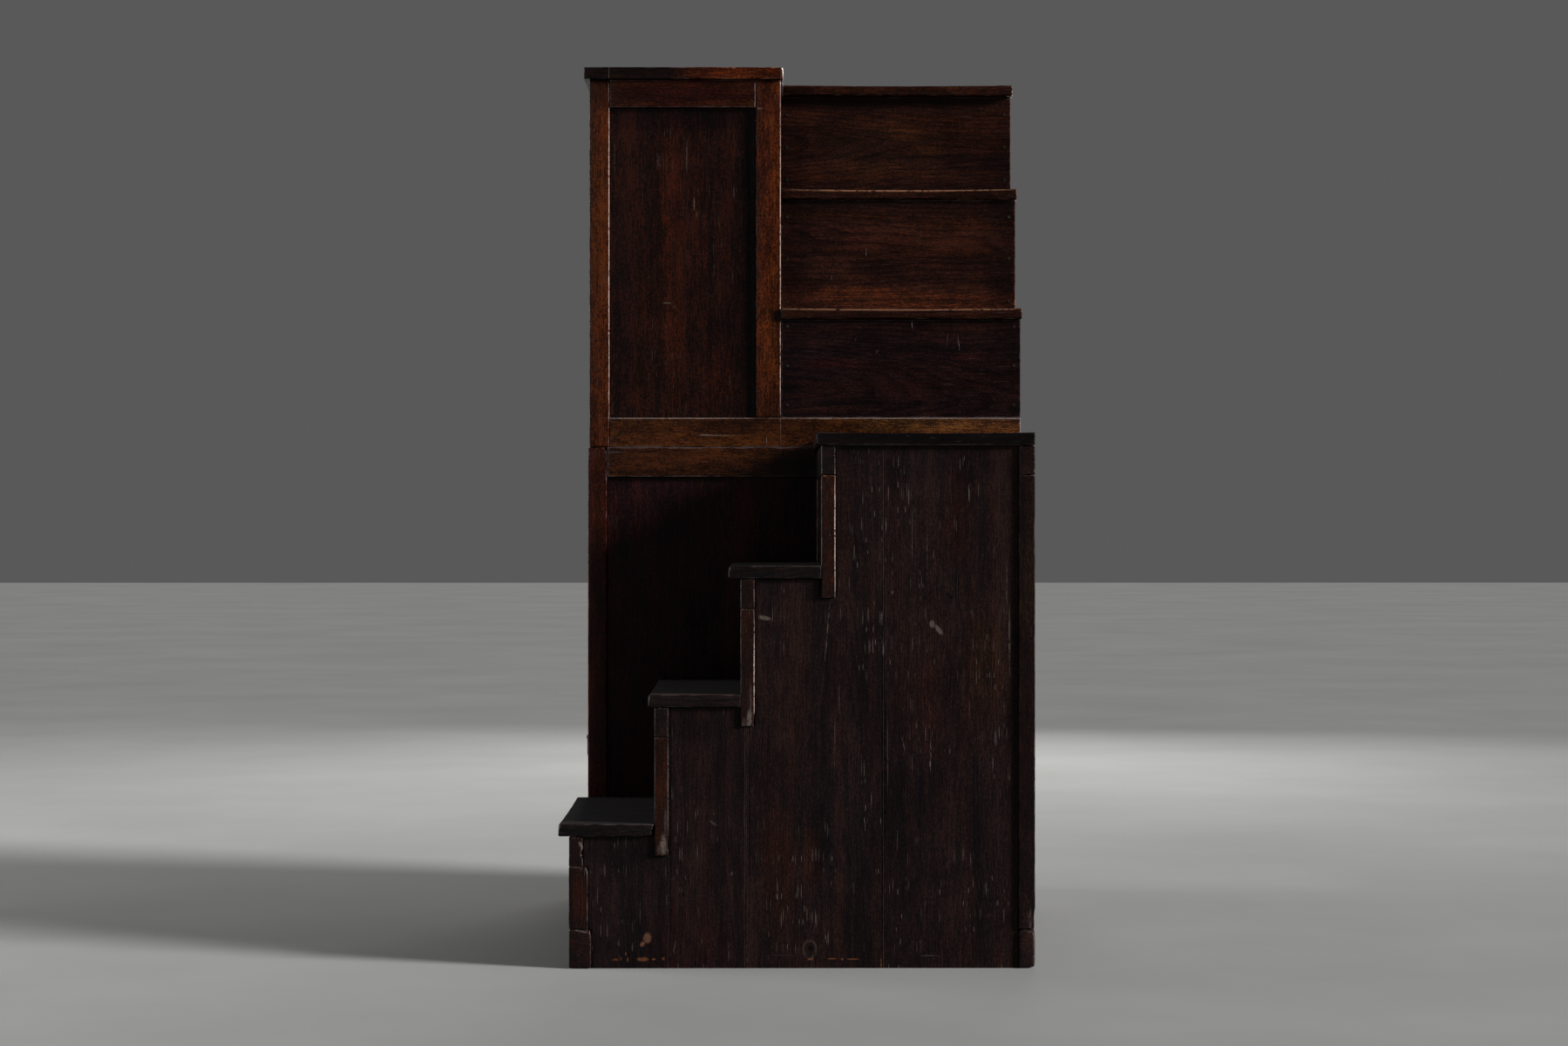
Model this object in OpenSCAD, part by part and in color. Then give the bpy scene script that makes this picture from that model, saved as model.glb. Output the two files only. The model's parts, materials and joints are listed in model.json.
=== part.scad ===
// A turning step chest. A lower flight of three steps and a landing rises along X over its own
// case. A tall case in two boxes stands behind it, and an upper flight of three more steps
// climbs away along Y from the landing, beside the tall case's cupboard.
// X runs from the first riser to the end face, Y from the near side to the back, and Z is up.
// The origin is on the floor, under the middle of the whole piece.

/* [Lower flight] */
// Length of the lower flight, from its first riser to its end face
stair_len = 965; // [900:1:1080]
// Depth of the lower flight, from its near side to the tall case
stair_depth = 620; // [560:1:700]
// Height of step 1 above the floor
rise_1 = 300; // [280:1:330]
// Height of step 2 above step 1
rise_2 = 267; // [240:1:300]
// Height of step 3 above step 2
rise_3 = 266; // [240:1:300]
// Height of the landing above step 3
rise_4 = 276; // [240:1:300]
// Going of step 1, from riser to riser
going_1 = 177; // [150:1:200]
// Going of step 2
going_2 = 178; // [150:1:200]
// Going of step 3
going_3 = 167; // [150:1:200]
// Thickness of the treads and of the landing
tread_t = 27; // [22:1:32]
// How far tread 1 stands out past its riser
nose_1 = 22; // [10:1:30]
// How far tread 2 stands out past its riser
nose_2 = 13; // [5:1:30]
// How far tread 3 stands out past its riser
nose_3 = 25; // [5:1:30]
// How far the landing stands out past its riser
nose_4 = 10; // [5:1:30]
// How far the treads stand out past the near side
tread_lip = 3; // [1:0.5:8]
// Worn chamfer along the treads' edges
tread_edge = 3; // [1:0.5:6]

/* [Lower flight frame] */
// Width of the posts at steps 2, 3 and 4, as seen from the near side
post_w = 30; // [24:1:38]
// Width of the post at step 1
first_post_w = 40; // [34:1:46]
// Width of the post at the end face
end_post_w = 35; // [28:1:44]
// Depth of every post, along Y
post_d = 34; // [28:1:44]
// How far the posts run down past the tread below them
post_drop = 40; // [20:1:60]
// Height of the rails under the treads' front edges
step_rail_h = 62; // [50:1:74]
// Width of the base rails, along X
base_rail_w = 47; // [42:1:56]
// Height of the base rails
base_rail_h = 81; // [70:1:95]
// Set-back of the side boards behind the posts' faces
board_recess = 7; // [3:0.5:10]
// Thickness of the side, riser, end and back boards
board_t = 12; // [10:0.5:15]
// Open seam between neighbouring boards
board_seam = 0.4; // [0.2:0.1:1]
// Number of boards in the end face
end_board_count = 3; // [2:1:4]
// Right edge of the second side board
seam_2 = 365; // [360:1:375]
// Right edge of the third side board
seam_3 = 652; // [600:1:720]
// Height of the stair floor's underside
stair_floor_z = 30; // [15:1:38]

/* [Tall case] */
// Set-back of the tall case's left face behind the first riser
case_set = 6; // [4:1:20]
// Length of the tall case along X, with the upper flight
case_len = 980; // [900:1:1080]
// Depth of the tall case along Y
case_depth = 760; // [700:1:860]
// How far the lower box stands out past the upper box's left face
lower_box_lip = 3; // [1:0.5:4]
// Height of the lower box
lower_box_h = 1093; // [1080:1:1105]
// Height of the upper box, without its top board
upper_box_h = 834; // [800:1:880]
// Thickness of the top board
top_t = 28; // [22:1:34]
// Overhang of the top board at the left
top_over_x = 12; // [5:1:18]
// Overhang of the top board at the near side and the back
top_over_y = 10; // [5:1:20]
// Overhang of the top board over the upper flight
top_over_stair = 5; // [2:1:8]
// Section of the tall case's corner posts
case_post = 44; // [38:1:52]
// Width of the upper box's left post, as seen from the near side
left_post_w = 47; // [40:1:54]
// Width of the upper box's right stile, beside the upper flight
right_stile_w = 58; // [50:1:66]
// Length of the cupboard along X, beside the upper flight
cupboard_len = 436; // [410:1:470]
// Height of the upper box's bottom rail and of the lower box's top rail
case_rail_h = 67; // [58:1:76]
// Height of the upper box's top rail
top_rail_h = 63; // [55:1:72]
// Height of the lower box's bottom rail
foot_rail_h = 70; // [60:1:80]
// Set-back of the panels behind the frame
panel_recess = 10; // [6:1:14]
// Number of boards in the lower box's back
back_board_count = 4; // [3:1:6]
// Height of the shelf in the upper cupboard, above its floor
shelf_h = 345; // [250:1:420]
// Thickness of the shelves and the floors
shelf_t = 14; // [10:1:18]

/* [Upper flight] */
// Going of the upper flight's steps
high_going = 140; // [130:1:150]
// Height of the upper flight's step 1 above the upper box's bottom rail
high_rise_1 = 249; // [230:1:270]
// Height of the upper flight's step 2 above its step 1
high_rise_2 = 286; // [265:1:300]
// How far the upper treads stand out past their risers
high_nose = 10; // [5:1:20]
// How far the top tread stands out past its riser
top_nose = 22; // [5:1:30]
// How far the upper treads stand out past the end face
high_lip = 3; // [1:0.5:8]
// Thickness of the upper treads
high_tread_t = 26; // [22:1:32]
// Thickness of the upper risers and of the boards beside them
high_board_t = 20; // [16:1:24]
// Set-back of the upper risers behind the case's face
riser_recess = 1.5; // [0:0.5:4]
// Diameter of the nail heads
nail_head_d = 7; // [5:0.5:9]
// Diameter of the nails
nail_d = 3; // [2:0.5:4]
// Height of a nail head above the board
nail_head_h = 0.6; // [0.4:0.1:1]
// Length of a nail in the board
nail_len = 14; // [10:1:15]
// Distance of the nails from a riser's ends
nail_inset = 15; // [10:1:20]

/* [Drawers] */
// Length of the drawer in the first step
step_drawer_len = 600; // [450:10:700]
// Length of the two wide drawers
wide_drawer_len = 680; // [500:10:760]
// Height of the lowest drawer's opening
wide_1_h = 215; // [170:1:225]
// Height of the second drawer's opening
wide_2_h = 195; // [160:1:205]
// Height of the rail between the drawers
drawer_rail_h = 26; // [20:1:34]
// Height of the sill under the lower sliding doors
sill_h = 30; // [24:1:36]
// Thickness of a drawer's front
front_t = 20; // [16:1:24]
// Thickness of a drawer's sides and back
side_t = 12; // [9:1:15]
// Thickness of a drawer's bottom
bottom_t = 8; // [6:1:10]
// Height of a drawer's bottom above the lower edge of its sides
bottom_lift = 5; // [3:1:8]
// Set-back of the drawer fronts behind the frame
front_recess = 2; // [1:0.5:5]
// Gap at each side of a drawer
side_gap = 1.5; // [1:0.5:3]
// Gap over a drawer
top_gap = 3; // [2:0.5:5]
// Width of the runners under a drawer's sides
runner_w = 30; // [24:1:40]
// Height of the guides beside a drawer
guide_h = 30; // [20:1:40]

/* [Handles] */
// Distance between the eyes of a handle
eye_span = 88; // [70:1:110]
// Radius of an eye's head
eye_r = 6; // [5.5:0.5:8]
// Radius of the stem behind an eye's head
stem_r = 5; // [4.5:0.5:5.5]
// Distance of a handle's pivot from the drawer front
eye_reach = 11; // [10:0.5:16]
// Diameter of the round plate behind an eye
plate_d = 34; // [26:1:42]
// Thickness of the round plate
plate_t = 1.6; // [1:0.2:2.4]
// Diameter of a handle's rod
rod_d = 7; // [6:0.5:8]
// Diameter of a handle's pivot pins
pin_d = 5; // [4:0.5:5.5]
// Running clearance round a pivot pin
pin_clear = 0.08; // [0.05:0.01:0.1]
// Radius of the knuckle at a handle's upper corners
knuckle_r = 4.3; // [4.1:0.1:5]
// Gap between a handle's knuckle and its eye
knuckle_gap = 0.5; // [0.3:0.1:1]
// How far a handle's pins show past the inner side of the eyes
pin_past = 0.5; // [0:0.5:2]
// Drop of a handle, from its pivot to its rod's middle
bail_drop = 42; // [36:1:48]
// Radius of a handle's lower bends
bend_r = 15; // [10:1:20]
// Height of the pivot above the middle of a drawer front
pivot_lift = 14; // [8:1:20]
// Distance of the wide drawers' handles from the middle, at each side
handle_off = 125; // [100:5:220]

/* [Sliding doors] */
// Thickness of a sliding door
door_t = 20; // [16:1:24]
// Overlap of the two doors where they meet
door_lap = 48; // [30:1:70]
// Width of a door's stiles
door_stile = 45; // [35:1:55]
// Height of a door's rails
door_rail = 55; // [45:1:70]
// Thickness of a door's panel
door_panel_t = 8; // [6:1:12]
// Gap between a door and the post beside it
door_gap = 1; // [0.5:0.5:3]
// Running gap between a door and the lips of its track
track_gap = 0.5; // [0.4:0.1:1]
// Width of the lips beside the tracks
lip_w = 6; // [4:0.5:8]
// Height of the lips on the sill
lip_h = 6; // [4:1:8]
// Depth of the lips under the head
head_lip_h = 12; // [8:1:16]
// Gap over a door
door_top_gap = 2; // [1:0.5:4]

/* [Hidden] */
$fn = 48;

// How far a moving piece lies above what carries it
seat_gap = 0.3;
// Open joint between pieces of one node that meet
joint_gap = 0.2;
// A little more than nothing, so that a cut runs past the face it opens
past = 1;

DARK = "#3a2319";
WARM = "#6b3d1d";
DEEP = "#2c1812";
PLAIN = "#8a6a48";
IRON = "#26241f";

// Lower flight: the risers' faces along X and the treads' tops along Z
step_x = [0, going_1, going_1 + going_2, going_1 + going_2 + going_3];
step_z = [rise_1, rise_1 + rise_2, rise_1 + rise_2 + rise_3, rise_1 + rise_2 + rise_3 + rise_4];
nose = [nose_1, nose_2, nose_3, nose_4];
under_z = [for (z = step_z) z - tread_t];
rail_z = [for (z = under_z) z - step_rail_h];
step_post_w = [first_post_w, post_w, post_w, post_w];
end_x = stair_len - end_post_w;
inner_y = [post_d, stair_depth - post_d];
board_x = [0, step_x[1] + post_w, seam_2, seam_3, end_x];
near_board_y = [board_recess, board_recess + board_t];
far_board_y = [stair_depth - board_recess - board_t, stair_depth - board_recess];

// Tall case
case_y = [stair_depth, stair_depth + case_depth];
case_x = [case_set, case_set + case_len];
lower_x = [case_set - lower_box_lip, case_x[1]];
cup_x = case_set + cupboard_len;
upper_z = lower_box_h + case_rail_h;
head_z = lower_box_h + upper_box_h - top_rail_h;
case_top = lower_box_h + upper_box_h;
case_in_y = [case_y[0] + case_post, case_y[1] - case_post];
shoulder_y = [case_in_y[0] + joint_gap, case_in_y[1] - joint_gap];
panel_y = [case_y[0] + panel_recess, case_y[0] + panel_recess + board_t];
far_panel_y = [case_y[1] - panel_recess - board_t, case_y[1] - panel_recess];
box_in_y = [panel_y[1], far_panel_y[0]];
track_w = door_t + 2 * track_gap;
rail_d = 3 * lip_w + 2 * track_w;
wide_1_z = [foot_rail_h, foot_rail_h + wide_1_h];
wide_2_z = [wide_1_z[1] + drawer_rail_h, wide_1_z[1] + drawer_rail_h + wide_2_h];
low_door_z = [wide_2_z[1] + sill_h, lower_box_h - case_rail_h];
high_door_z = [upper_z, head_z];
back_x = case_x[1] - panel_recess - board_t;
divider_x = [cup_x - board_t, cup_x];

// Upper flight: its top tread lies level with the top board, so the last rise is what is left over
high_z = [upper_z + high_rise_1, upper_z + high_rise_1 + high_rise_2, case_top + high_tread_t];
high_y = [for (k = [0:2]) case_y[0] + riser_recess + k * high_going];
high_under = [for (z = high_z) z - high_tread_t];
high_x = [cup_x, case_x[1]];
// Where the nails are on each upper riser, as shares of its height
nail_parts = [[0.13, 0.53, 0.93], [0.1, 0.48, 0.85], [0.16, 0.49, 0.82]];

// Middle of the whole piece, over which the origin lies
all_x = [-nose_1, case_x[1] + high_lip];
all_y = [-tread_lip, case_y[1] + top_over_y];
mid_x = (all_x[0] + all_x[1]) / 2;
mid_y = (all_y[0] + all_y[1]) / 2;

// Drawers: 0 is in the first step, 1 and 2 are the wide ones
drawer_face = [front_recess, lower_x[0] + front_recess, lower_x[0] + front_recess];
drawer_len = [step_drawer_len, wide_drawer_len, wide_drawer_len];
drawer_hole_y = [inner_y, case_in_y, case_in_y];
drawer_hole_z = [[base_rail_h, rail_z[0]], wide_1_z, wide_2_z];
function drawer_y(i) = [drawer_hole_y[i][0] + side_gap, drawer_hole_y[i][1] - side_gap];
function drawer_z(i) = [drawer_hole_z[i][0] + seat_gap, drawer_hole_z[i][1] - top_gap];
function middle(span) = (span[0] + span[1]) / 2;
function pivot_z(i) = middle(drawer_z(i)) + pivot_lift;
handle_y = [[middle(inner_y)], [middle(case_in_y) - handle_off, middle(case_in_y) + handle_off],
    [middle(case_in_y) - handle_off, middle(case_in_y) + handle_off]];

// Sliding doors: the near one runs in the outer track, the far one in the inner track
door_w = (case_in_y[1] - case_in_y[0] + door_lap) / 2 - door_gap;
near_door_y = [case_in_y[0] + door_gap, case_in_y[0] + door_gap + door_w];
far_door_y = [case_in_y[1] - door_gap - door_w, case_in_y[1] - door_gap];
function track_x(face, inner) = face + lip_w + track_gap + (inner ? track_w + lip_w : 0);

// ---- helpers ----

// Moves a piece from the corner of the first riser to the middle of the footprint
module placed() translate([-mid_x, -mid_y, 0]) children();

// Two limits, as distances from a point
function span(p, low, high) = [p + low, p + high];

// A straight piece between two limits on each axis
module bar(x, y, z) translate([x[0], y[0], z[0]]) cube([x[1] - x[0], y[1] - y[0], z[1] - z[0]]);

// A board with worn long edges: its profile lies in X and Z and runs along Y
module worn_tread(x, y, z, edge) {
    outline = [[x[0] + edge, z[0]], [x[1], z[0]], [x[1], z[1]], [x[0] + edge, z[1]],
        [x[0], z[1] - edge], [x[0], z[0] + edge]];
    translate([0, y[1], 0]) rotate([90, 0, 0]) linear_extrude(y[1] - y[0]) polygon(outline);
}

// The same board turned a quarter: its nose points along -Y and it runs along X
module worn_high_tread(x, y, z, edge)
    translate([x[0], y[0], 0]) rotate([0, 0, 90]) mirror([0, 1, 0])
        worn_tread([0, y[1] - y[0]], [0, x[1] - x[0]], z, edge);

// Upright boards side by side across a span of Y, with open seams
module boards_across_y(x, y, z, count) {
    w = (y[1] - y[0] - (count - 1) * board_seam) / count;
    for (k = [0:count - 1]) bar(x, span(y[0] + k * (w + board_seam), 0, w), z);
}

// ---- lower flight ----

module step_post(k, y)
    bar(span(step_x[k], 0, step_post_w[k]), y,
        [k == 0 ? base_rail_h : under_z[k - 1] - post_drop, rail_z[k]]);

module end_post(y) bar([end_x, stair_len], y, [base_rail_h, rail_z[3]]);

module stair_post_set()
    for (y = [[0, post_d], [stair_depth - post_d, stair_depth]]) {
        for (k = [0:3]) step_post(k, y);
        end_post(y);
    }

module stair_posts() color(DARK) placed() stair_post_set();

module step_rail_set() {
    for (k = [0:3]) bar(span(step_x[k], 0, post_w), [0, stair_depth], [rail_z[k], under_z[k]]);
    bar([end_x, stair_len], [0, stair_depth], [rail_z[3], under_z[3]]);
}

module step_rails() color(DARK) placed() step_rail_set();

module base_rail_set() {
    bar([0, base_rail_w], [0, stair_depth], [0, base_rail_h]);
    bar([end_x, stair_len], [0, stair_depth], [0, base_rail_h]);
}

module base_rails() color(DARK) placed() base_rail_set();

// The stepped outline under the treads, as a solid between two planes of Y
module under_steps(y) {
    outline = [[0, 0], [stair_len, 0], [stair_len, under_z[3]], [step_x[3], under_z[3]],
        [step_x[3], under_z[2]], [step_x[2], under_z[2]], [step_x[2], under_z[1]],
        [step_x[1], under_z[1]], [step_x[1], under_z[0]], [0, under_z[0]]];
    translate([0, y[1], 0]) rotate([90, 0, 0]) linear_extrude(y[1] - y[0]) polygon(outline);
}

module side_board(k, y)
    difference() {
        intersection() {
            under_steps(y);
            bar([board_x[k] + (k == 0 ? 0 : board_seam), board_x[k + 1]], y, [0, step_z[3]]);
        }
        stair_post_set();
        step_rail_set();
        base_rail_set();
    }

module side_board_1() color(DARK) placed() side_board(0, near_board_y);
module side_board_2() color(DARK) placed() side_board(1, near_board_y);
module side_board_3() color(DARK) placed() side_board(2, near_board_y);
module side_board_4() color(DARK) placed() side_board(3, near_board_y);
module far_side_boards() color(PLAIN) placed() for (k = [0:3]) side_board(k, far_board_y);

module step_risers()
    color(DARK) placed()
        for (k = [1:3])
            bar(span(step_x[k] + board_recess, 0, board_t), inner_y, [step_z[k - 1], rail_z[k]]);

module end_boards()
    color(DARK) placed()
        boards_across_y(span(stair_len - board_recess, -board_t, 0), inner_y,
            [base_rail_h, rail_z[3]], end_board_count);

// The floor board and the first drawer's two runners
module stair_floor()
    color(PLAIN) placed() {
        top = stair_floor_z + shelf_t;
        bar([base_rail_w, end_x], [near_board_y[1], far_board_y[0]], [stair_floor_z, top]);
        for (y = [span(inner_y[0], 0, runner_w), span(inner_y[1], -runner_w, 0)])
            bar([base_rail_w, front_recess + step_drawer_len], y, [top + joint_gap, base_rail_h]);
    }

// A tread reaches the next step's posts, and between them runs on under the riser
module step_tread(k)
    difference() {
        worn_tread([step_x[k] - nose[k], step_x[k + 1] + board_recess + board_t],
            [-tread_lip, stair_depth], [under_z[k], step_z[k]], tread_edge);
        for (y = [[-tread_lip - past, post_d], [stair_depth - post_d, stair_depth + past]])
            bar(span(step_x[k + 1], 0, post_w), y, [under_z[k] - past, step_z[k] + past]);
    }

module tread_1() color(DARK) placed() step_tread(0);
module tread_2() color(DARK) placed() step_tread(1);
module tread_3() color(DARK) placed() step_tread(2);
module landing()
    color(DARK) placed()
        worn_tread([step_x[3] - nose[3], stair_len], [-tread_lip, stair_depth], [under_z[3], step_z[3]],
            tread_edge);

// ---- tall case, lower box ----

module lower_posts()
    color(WARM) placed()
        for (x = [span(lower_x[0], 0, case_post), span(lower_x[1], -case_post, 0)],
             y = [span(case_y[0], 0, case_post), span(case_y[1], -case_post, 0)])
            bar(x, y, [0, lower_box_h]);

// A sill or head with the lips of two door tracks on it
module track_sill(face, z) {
    bar(span(face, 0, rail_d), shoulder_y, z);
    for (k = [0:2])
        bar(span(face + k * (lip_w + track_w), 0, lip_w), shoulder_y, [z[1], z[1] + lip_h]);
}

module track_head(face, z) {
    bar(span(face, 0, rail_d), shoulder_y, z);
    for (k = [0:2])
        bar(span(face + k * (lip_w + track_w), 0, lip_w), shoulder_y, [z[0] - head_lip_h, z[0]]);
}

module lower_rails()
    color(WARM) placed() {
        side_x = [lower_x[0] + case_post, lower_x[1] - case_post];
        for (y = [span(case_y[0], 0, case_post), span(case_y[1], -case_post, 0)])
            for (z = [[0, foot_rail_h], [low_door_z[1], lower_box_h]]) bar(side_x, y, z);
        for (z = [[0, foot_rail_h], [low_door_z[1], lower_box_h]])
            bar(span(lower_x[1], -case_post, 0), case_in_y, z);
        bar(span(lower_x[0], 0, case_post), case_in_y, [0, foot_rail_h]);
        bar(span(lower_x[0], 0, case_post), case_in_y, [wide_1_z[1], wide_2_z[0]]);
        track_sill(lower_x[0], [wide_2_z[1], low_door_z[0]]);
        track_head(lower_x[0], [low_door_z[1], lower_box_h]);
    }

module lower_side_panels()
    color(DEEP) placed()
        for (y = [panel_y, far_panel_y])
            bar([lower_x[0] + case_post, lower_x[1] - case_post], y, [foot_rail_h, low_door_z[1]]);

module lower_back_boards()
    color(PLAIN) placed() boards_across_y([back_x, back_x + board_t], case_in_y,
        [foot_rail_h, low_door_z[1]], back_board_count);

// The lower box's floor, and the shelf board that closes the drawers' space
module lower_boards()
    color(PLAIN) placed() {
        floor_top = foot_rail_h - shelf_t;
        bar([lower_x[0] + case_post, lower_x[1] - case_post], case_in_y, [floor_top - shelf_t, floor_top]);
        bar([lower_x[0] + rail_d, lower_x[1] - case_post], box_in_y, span(low_door_z[0], -shelf_t, 0));
    }

// Runners under the wide drawers' sides, and guides beside them
module drawer_runners()
    color(PLAIN) placed() {
        front_x = lower_x[0] + case_post;
        rail_x = lower_x[1] - case_post;
        for (side = [0, 1]) {
            under = side == 0 ? span(case_in_y[0], 0, runner_w) : span(case_in_y[1], -runner_w, 0);
            beside = side == 0 ? [box_in_y[0], case_in_y[0]] : [case_in_y[1], box_in_y[1]];
            bar([front_x, rail_x], under, [foot_rail_h - shelf_t + joint_gap, foot_rail_h]);
            bar([front_x, back_x], under, [wide_1_z[1], wide_2_z[0]]);
            for (z = [wide_1_z[0], wide_2_z[0]])
                bar([front_x, rail_x], beside, span(z + joint_gap, 0, guide_h));
        }
    }

// ---- tall case, upper box ----

module upper_posts()
    color(WARM) placed() {
        for (y = [span(case_y[0], 0, case_post), span(case_y[1], -case_post, 0)]) {
            bar(span(case_x[0], 0, left_post_w), y, [lower_box_h, case_top]);
            bar(span(cup_x, -right_stile_w, 0), y, [upper_z, case_top]);
        }
        bar(span(case_x[1] - high_board_t, -case_post, 0),
            span(high_y[0] + high_board_t, 0, case_post), [upper_z, high_under[0]]);
        bar(span(case_x[1] - high_board_t, -case_post, 0),
            span(case_y[1] - high_board_t, -case_post, 0), [upper_z, high_under[2]]);
    }

module upper_rails()
    color(WARM) placed() {
        for (y = [span(case_y[0], 0, case_post), span(case_y[1], -case_post, 0)]) {
            bar([case_x[0] + left_post_w, case_x[1]], y, [lower_box_h, upper_z]);
            bar([case_x[0] + left_post_w, cup_x - right_stile_w], y, [head_z, case_top]);
        }
        bar(span(case_x[1], -case_post, 0), shoulder_y, [lower_box_h, upper_z]);
        track_sill(case_x[0], [lower_box_h, upper_z]);
        track_head(case_x[0], [head_z, case_top]);
    }

module upper_side_panels()
    color(DEEP) placed()
        for (y = [panel_y, far_panel_y])
            bar([case_x[0] + left_post_w, cup_x - right_stile_w], y, [upper_z, head_z]);

// The wall between the cupboard and the upper flight
module divider() color(WARM) placed() bar(divider_x, case_in_y, [upper_z, case_top]);

// The cupboard's floor and shelf
module upper_boards()
    color(PLAIN) placed() {
        bar([case_x[0] + rail_d, cup_x], case_in_y, span(upper_z, -shelf_t, 0));
        bar([case_x[0] + rail_d, divider_x[0]], case_in_y, span(upper_z + shelf_h, 0, shelf_t));
    }

module top_board()
    color(WARM) placed()
        bar([case_x[0] - top_over_x, cup_x + top_over_stair],
            [case_y[0] - top_over_y, case_y[1] + top_over_y], [case_top, case_top + top_t]);

// ---- upper flight ----

module high_riser(k)
    bar(high_x, span(high_y[k], 0, high_board_t), [k == 0 ? upper_z : high_z[k - 1], high_under[k]]);

module high_riser_1() color(DEEP) placed() high_riser(0);
module high_riser_2() color(DEEP) placed() high_riser(1);
module high_riser_3() color(DEEP) placed() high_riser(2);

module high_tread(k)
    worn_high_tread(high_x + [0, high_lip], [high_y[k] - high_nose, high_y[k + 1] + high_board_t],
        [high_under[k], high_z[k]], tread_edge);

module high_tread_1() color(DEEP) placed() high_tread(0);
module high_tread_2() color(DEEP) placed() high_tread(1);
module top_tread()
    color(DEEP) placed()
        worn_high_tread([cup_x + top_over_stair, high_x[1] + high_lip],
            [high_y[2] - top_nose, case_y[1] + top_over_y], [high_under[2], high_z[2]], tread_edge);

// The boards beside the upper flight, one under each tread, and the boards at its back
module high_casing()
    color(DARK) placed() {
        x = span(case_x[1], -high_board_t, 0);
        back_y = case_y[1] - high_board_t;
        for (k = [0:2])
            bar(x, [high_y[k] + high_board_t + (k == 0 ? 0 : board_seam),
                    k == 2 ? back_y : high_y[k + 1] + high_board_t],
                [upper_z, high_under[k]]);
        for (half = [0, 1]) {
            w = (high_x[1] - high_x[0]) / 2;
            bar(span(high_x[0] + half * (w + board_seam), 0, w - half * board_seam),
                [back_y + joint_gap, case_y[1]], [upper_z, high_under[2]]);
        }
    }

// Nails along both ends of each upper riser
module riser_nails()
    color(IRON) placed()
        for (k = [0:2], side = [0, 1], part = nail_parts[k]) {
            low = k == 0 ? upper_z : high_z[k - 1];
            x = side == 0 ? high_x[0] + nail_inset : high_x[1] - nail_inset;
            translate([x, high_y[k], low + part * (high_under[k] - low)]) rotate([-90, 0, 0]) {
                cylinder(d = nail_d, h = nail_len);
                translate([0, 0, -nail_head_h]) cylinder(d = nail_head_d, h = nail_head_h);
            }
        }

// ---- drawers ----

module drawer_front(i)
    bar(span(drawer_face[i], 0, front_t), drawer_y(i), drawer_z(i));

module drawer_sides(i)
    for (y = [span(drawer_y(i)[0], 0, side_t), span(drawer_y(i)[1], -side_t, 0)])
        bar(span(drawer_face[i], front_t, drawer_len[i]), y, drawer_z(i));

module drawer_back(i)
    bar(span(drawer_face[i] + drawer_len[i], -side_t, 0), drawer_y(i) + [side_t, -side_t], drawer_z(i));

module drawer_bottom(i)
    bar(span(drawer_face[i], front_t, drawer_len[i] - side_t), drawer_y(i) + [side_t, -side_t],
        span(drawer_z(i)[0] + bottom_lift, 0, bottom_t));

module step_drawer_front() color(DARK) placed() drawer_front(0);
module step_drawer_sides() color(PLAIN) placed() drawer_sides(0);
module step_drawer_back() color(PLAIN) placed() drawer_back(0);
module step_drawer_bottom() color(PLAIN) placed() drawer_bottom(0);
module drawer_1_front() color(WARM) placed() drawer_front(1);
module drawer_1_sides() color(PLAIN) placed() drawer_sides(1);
module drawer_1_back() color(PLAIN) placed() drawer_back(1);
module drawer_1_bottom() color(PLAIN) placed() drawer_bottom(1);
module drawer_2_front() color(WARM) placed() drawer_front(2);
module drawer_2_sides() color(PLAIN) placed() drawer_sides(2);
module drawer_2_back() color(PLAIN) placed() drawer_back(2);
module drawer_2_bottom() color(PLAIN) placed() drawer_bottom(2);

// ---- handles ----

// Distance of a handle's arms from its middle
arm_off = eye_span / 2 + eye_r + knuckle_gap + knuckle_r;

// Places a handle's parts with the pivot's axis along Y through the origin
module at_pivot(i, k) translate([drawer_face[i] - eye_reach, handle_y[i][k], pivot_z(i)]) children();

// An eye: a round plate on the drawer front, a stem, and a head bored for the pin
module eye()
    difference() {
        union() {
            sphere(r = eye_r);
            rotate([0, 90, 0]) cylinder(r = stem_r, h = eye_reach);
            translate([eye_reach - plate_t, 0, 0]) rotate([0, 90, 0]) cylinder(d = plate_d, h = plate_t);
        }
        rotate([90, 0, 0])
            cylinder(d = pin_d + 2 * pin_clear, h = 2 * (eye_r + past), center = true);
    }

module eyes(i)
    for (k = [0:len(handle_y[i]) - 1], side = [-1, 1])
        at_pivot(i, k) translate([0, side * eye_span / 2, 0]) eye();

// A hanging handle: pins through the eyes, knuckles, arms, bends and the grip
module bail(i, k)
    at_pivot(i, k)
        for (side = [0, 1]) mirror([0, side, 0]) {
            pin_end = eye_span / 2 - eye_r - pin_past;
            translate([0, pin_end, 0]) rotate([-90, 0, 0]) cylinder(d = pin_d, h = arm_off - pin_end);
            translate([0, arm_off, 0]) sphere(r = knuckle_r);
            translate([0, arm_off, -bail_drop + bend_r]) cylinder(d = rod_d, h = bail_drop - bend_r);
            translate([0, arm_off - bend_r, -bail_drop + bend_r]) rotate([0, 90, 0])
                rotate_extrude(angle = 90) translate([bend_r, 0]) circle(d = rod_d);
            translate([0, 0, -bail_drop]) rotate([-90, 0, 0]) cylinder(d = rod_d, h = arm_off - bend_r);
        }

module step_drawer_eyes() color(IRON) placed() eyes(0);
module drawer_1_eyes() color(IRON) placed() eyes(1);
module drawer_2_eyes() color(IRON) placed() eyes(2);
module step_drawer_bail() color(IRON) placed() bail(0, 0);
module drawer_1_bail_near() color(IRON) placed() bail(1, 0);
module drawer_1_bail_far() color(IRON) placed() bail(1, 1);
module drawer_2_bail_near() color(IRON) placed() bail(2, 0);
module drawer_2_bail_far() color(IRON) placed() bail(2, 1);

// ---- sliding doors ----

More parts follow.
